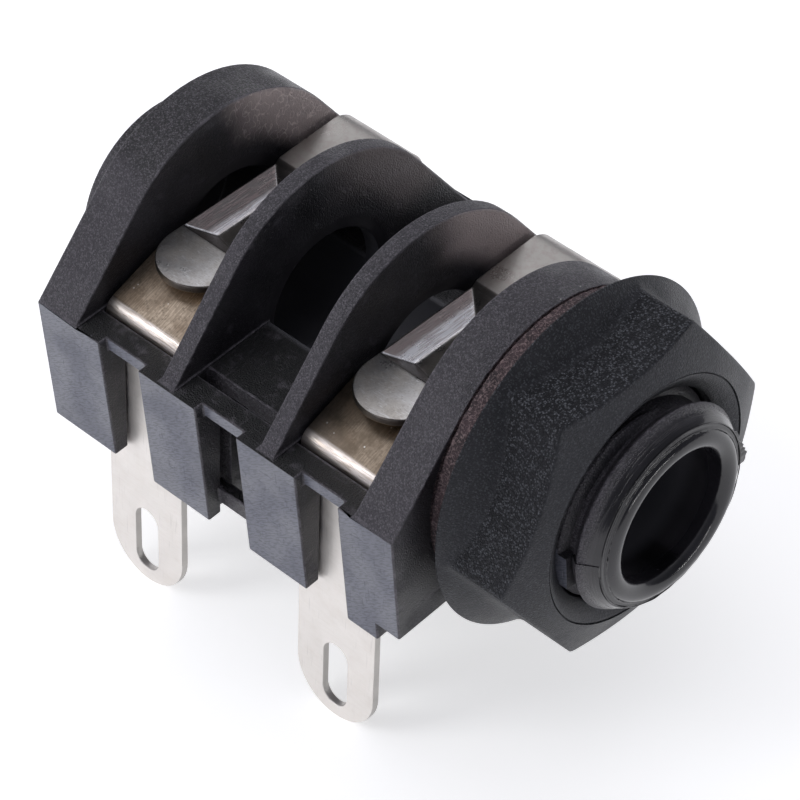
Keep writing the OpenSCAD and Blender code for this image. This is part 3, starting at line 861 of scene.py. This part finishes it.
def makeThread():
    s = threadShape
    turns = (s["end"] - s["start"]) / s["pitch"]
    count = int(turns * s["perTurn"])
    rows = []
    for i in range(count + 1):
        share = i / count
        t = -2 * math.pi * turns * share
        x = s["start"] + (s["end"] - s["start"]) * share
        swell = max(min(1.0, i / s["runOut"], (count - i) / s["runOut"]), s["least"])
        crest = s["root"] + (s["crest"] - s["root"]) * swell + seamRise(t)
        rows.append([
            polar(x - s["foot"], s["root"], t), polar(x - s["top"], crest - s["round"], t),
            polar(x - s["top"] * 0.5, crest, t), polar(x + s["top"] * 0.5, crest, t),
            polar(x + s["top"], crest - s["round"], t), polar(x + s["foot"], s["root"], t),
            polar(x, s["root"] - s["sunk"], t),
        ])
    return skin("bushThread", rows, blackMoulding, sharp=30)


# lead-in band below the seam: a thin step on the cone in front of the thread
bandShape = {
    "profile": ((5.9, 4.87), (6.2, 5.08), (6.36, 5.165), (6.55, 5.05), (6.9, 4.82), (7.2, 4.62)),
    "sunk": 0.12, "least": 0.001, "lift": 0.004, "steps": 110,
}


def makeSeamBand():
    s = bandShape
    first = threadShape["seam"]
    last = threadShape["seamEnd"]
    rows = []
    for i in range(s["steps"] + 1):
        turn = math.radians(first + (last - first) * i / s["steps"])
        rise = max(seamRise(turn), s["least"]) + s["lift"]
        outer = [polar(x, r + rise, turn) for x, r in s["profile"]]
        inner = [polar(x, r - s["sunk"], turn) for x, r in reversed(s["profile"])]
        rows.append(outer + inner)
    return skin("seamBand", rows, blackMoulding, sharp=30)


# plain flat beside the seam, where the two halves of the mould part
seamFlatShape = {"x": (0.5, 5.8), "y": (-4.5, -5.17), "z": (-1.5, 0.4), "taper": 0.12}


def makeSeamFlat():
    s = seamFlatShape
    rows = []
    for x in s["x"]:
        rows.append([
            (x, s["y"][0], s["z"][0] - s["taper"]), (x, s["y"][0], s["z"][1] + s["taper"]),
            (x, s["y"][1], s["z"][1]), (x, s["y"][1], s["z"][0]),
        ])
    return skin("seamFlat", rows, blackMoulding, sharp=30)


# thin flash line left round the lip, broken at the seam
lipFlashShape = {
    "x": 7.26, "r": 4.585, "thick": 0.03, "vary": 0.022, "sway": 0.012,
    "gap": (77.0, 93.0), "gapThick": 0.006, "wave": 6.0, "steps": 480,
}


def makeLipFlash():
    s = lipFlashShape
    rows = []
    for i in range(s["steps"]):
        degrees = 360 * i / s["steps"]
        turn = math.radians(degrees)
        wander = noise.noise(Vector((math.cos(turn) * s["wave"], math.sin(turn) * s["wave"], 3.1)))
        thick = s["thick"] + s["vary"] * wander
        if s["gap"][0] < degrees < s["gap"][1]:
            thick = s["gapThick"]
        x = s["x"] + s["sway"] * wander
        rows.append([polar(x + along, s["r"] + out, turn) for along, out in lineRing(thick)])
    return skin("lipFlash", rows, blackMoulding, rowLoop=True, sharp=60)


# torn sliver of flash standing off the lip
sliverShape = {
    "from": 312.0, "to": 264.0, "x": 7.2, "inner": 4.54, "reach": 0.62, "least": 0.06, "thick": 0.07,
    "narrow": 0.3, "sway": 0.05, "taper": 1.2, "steps": 60,
}


def makeSliver():
    s = sliverShape
    rows = []
    for i in range(s["steps"] + 1):
        share = i / s["steps"]
        turn = math.radians(s["from"] + (s["to"] - s["from"]) * share)
        coarse = noise.noise(Vector((share * 9, 1.7, 0.4)))
        fine = noise.noise(Vector((share * 23, 5.2, 0.1)))
        tear = coarse * 0.5 + fine * 0.35
        outer = s["inner"] + s["reach"] * max(s["least"], share ** s["taper"] * (0.75 + 0.6 * tear))
        x = s["x"] + s["sway"] * tear * share
        foot = s["thick"] / 2
        tip = s["thick"] * s["narrow"]
        rows.append([
            polar(x - foot, s["inner"], turn), polar(x + foot, s["inner"], turn),
            polar(x + tip, outer, turn), polar(x - tip, outer, turn),
        ])
    return skin("flashSliver", rows, blackMoulding, sharp=30)


# raised flash lines on the front top edges of the bulkheads
flashLines = {
    "edges": (-20.2, -13.82, -7.45), "crown": 7.55, "slope": 44.5, "far": -50.0, "ledge": 1.15,
    "inset": 0.05, "thick": 0.03, "vary": 0.014, "least": 0.006, "crownSteps": 150, "slopeSteps": 120,
}


def makeFlashLine(name, front):
    s = flashLines
    path = []
    for i in range(s["crownSteps"] + 1):
        turn = math.radians(s["far"] + (s["slope"] - s["far"]) * i / s["crownSteps"])
        out = Vector((0, -math.sin(turn), math.cos(turn)))
        path.append((out, s["crown"] * out))
    out, last = path[-1]
    down = Vector((0, -out.z, out.y))
    length = abs((last.z - s["ledge"]) / down.z)
    for i in range(1, s["slopeSteps"] + 1):
        path.append((out, last + down * (length * i / s["slopeSteps"])))
    rows = []
    for normal, place in path:
        wander = noise.noise(place * 0.7 + Vector((front, 0, 0))) + 0.2 * noise.noise(place * 4.0)
        thick = max(s["least"], s["thick"] + s["vary"] * wander)
        middle = place - normal * s["inset"] + Vector((front - s["inset"], 0, 0))
        rows.append([middle + Vector((along, 0, 0)) + normal * up for along, up in lineRing(thick)])
    return skin(name, rows, mouldingEdge, sharp=60)


bushPieces = [makeThread(), makeSeamBand(), makeSeamFlat(), makeLipFlash(), makeSliver()]
for index, front in enumerate(flashLines["edges"]):
    bushPieces.append(makeFlashLine("flashLine" + str(index + 1), front))
for piece in bushPieces:
    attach(piece, "socket")
print("thread and flash made")


# pale floor, white to the camera and to reflections, with the shadow kept
floorLook = {
    "color": (0.86, 0.86, 0.87, 1), "shade": (0.85, 0.85, 0.86, 1), "cloud": 3.0,
    "rough": 0.9, "specular": 0.1, "white": (1, 1, 1, 1), "glow": 0.56, "size": 3.0,
}


def makeFloor():
    s = floorLook
    mat = bpy.data.materials.new("paleFloor")
    mat.use_nodes = True
    tree = mat.node_tree
    shader = tree.nodes["Principled BSDF"]
    soft = addNode(tree, "ShaderNodeTexNoise", {"Scale": s["cloud"]})
    color = mixColor(tree, soft.outputs["Fac"], s["shade"], s["color"])
    tree.links.new(color, shader.inputs["Base Color"])
    shader.inputs["Roughness"].default_value = s["rough"]
    shader.inputs["Specular IOR Level"].default_value = s["specular"]
    rays = addNode(tree, "ShaderNodeLightPath").outputs
    seen = math2(tree, "MAXIMUM", rays["Is Camera Ray"], rays["Is Glossy Ray"])
    seen = math2(tree, "MAXIMUM", seen, rays["Is Transmission Ray"])
    shining = {"Color": s["white"], "Strength": times(tree, seen, s["glow"])}
    glow = addNode(tree, "ShaderNodeEmission", shining)
    both = addNode(tree, "ShaderNodeAddShader", {0: shader.outputs[0], 1: glow.outputs[0]})
    tree.links.new(both.outputs[0], tree.nodes["Material Output"].inputs["Surface"])
    half = s["size"] / 2
    low = cadBox[0][2]
    corners = [(-half, -half, low), (half, -half, low), (half, half, low), (-half, half, low)]
    mesh = bpy.data.meshes.new("floor")
    mesh.from_pydata(corners, [], [(0, 1, 2, 3)])
    mesh.materials.append(mat)
    floor = addObject("floor", mesh)


makeFloor()

# soft room: brighter overhead, dim towards the front
roomLook = {
    "low": (0.33, 0.335, 0.365, 1), "high": (0.55, 0.55, 0.6, 1), "front": (0.17, 0.175, 0.2, 1),
    "strength": 1.0, "overhead": (0.1, 0.75), "ahead": (-0.1, 0.7),
}


def makeRoom():
    s = roomLook
    world = bpy.data.worlds.new("studioRoom")
    bpy.context.scene.world = world
    world.use_nodes = True
    tree = world.node_tree
    towards = split(tree, addNode(tree, "ShaderNodeTexCoord").outputs["Generated"])
    color = mixColor(tree, ramp(tree, towards[2], *s["overhead"]), s["low"], s["high"])
    color = tint(tree, color, s["front"], ramp(tree, towards[0], *s["ahead"]))
    back = tree.nodes["Background"]
    tree.links.new(color, back.inputs["Color"])
    back.inputs["Strength"].default_value = s["strength"]


makeRoom()


def areaLight(name, lamp):
    data = bpy.data.lights.new(name, "AREA")
    data.shape = "RECTANGLE"
    data.size, data.size_y = lamp["size"]
    data.energy = lamp["power"]
    obj = addObject(name, data)
    obj.location = lamp["place"]
    obj.rotation_euler = (-Vector(lamp["place"])).to_track_quat("-Z", "Y").to_euler()


lamps = {
    "leftStrip": {"place": (-0.33, -0.42, 0.38), "size": (0.22, 0.5), "power": 1.0},
    "frontLine": {"place": (0.6, 0.05, 0.08), "size": (0.5, 0.015), "power": 0.6},
    "topBox": {"place": (-0.3, 0.25, 0.5), "size": (0.8, 0.8), "power": 0.95},
}
for name, lamp in lamps.items():
    areaLight(name, lamp)
print("stage lit")
